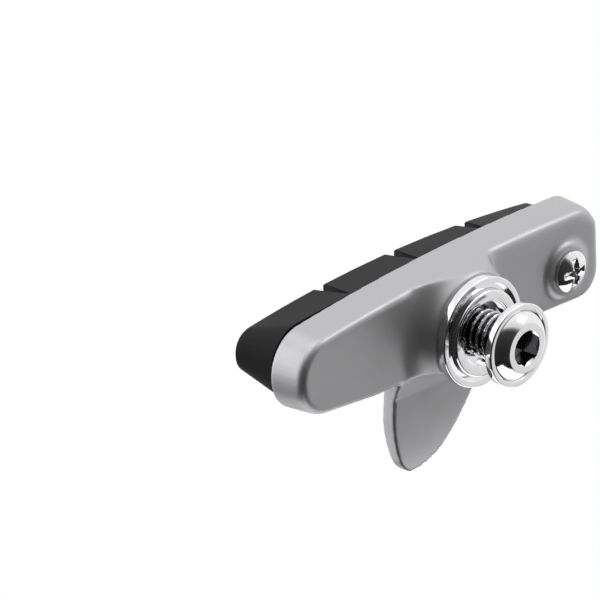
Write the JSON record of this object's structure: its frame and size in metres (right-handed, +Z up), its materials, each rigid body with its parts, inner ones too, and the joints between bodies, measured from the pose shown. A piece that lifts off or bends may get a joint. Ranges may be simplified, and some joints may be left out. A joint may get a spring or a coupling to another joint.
{
  "type": "bicycle rim brake shoe",
  "caption": "Road bicycle rim brake shoe: cast holder with a curled guide fin, grooved slide-in rubber pad, pad screw, and a fixing bolt whose dished washers clamp a brake arm.",
  "frame": {"origin": "bolt axis where it crosses the flat arm seat of the ball washer", "axes": "+Y along the bolt towards the rim, -Y towards the bolt's head, -X towards the closed front end of the holder, +Z up, away from the guide fin"},
  "size_m": [0.054, 0.0217, 0.0238],
  "materials": {
    "holder_metal": "satin metallic silver coating",
    "pad_rubber": "matt moulded rubber",
    "bright_steel": "bright plated steel"
  },
  "bodies": {
    "root": {"shoe_holder": "holder_metal", "brake_pad": "pad_rubber", "pad_screw": "bright_steel", "cup_washer": "bright_steel", "ball_washer": "bright_steel", "head_washer": "bright_steel", "fixing_bolt": "bright_steel"}
  },
  "joints": []
}
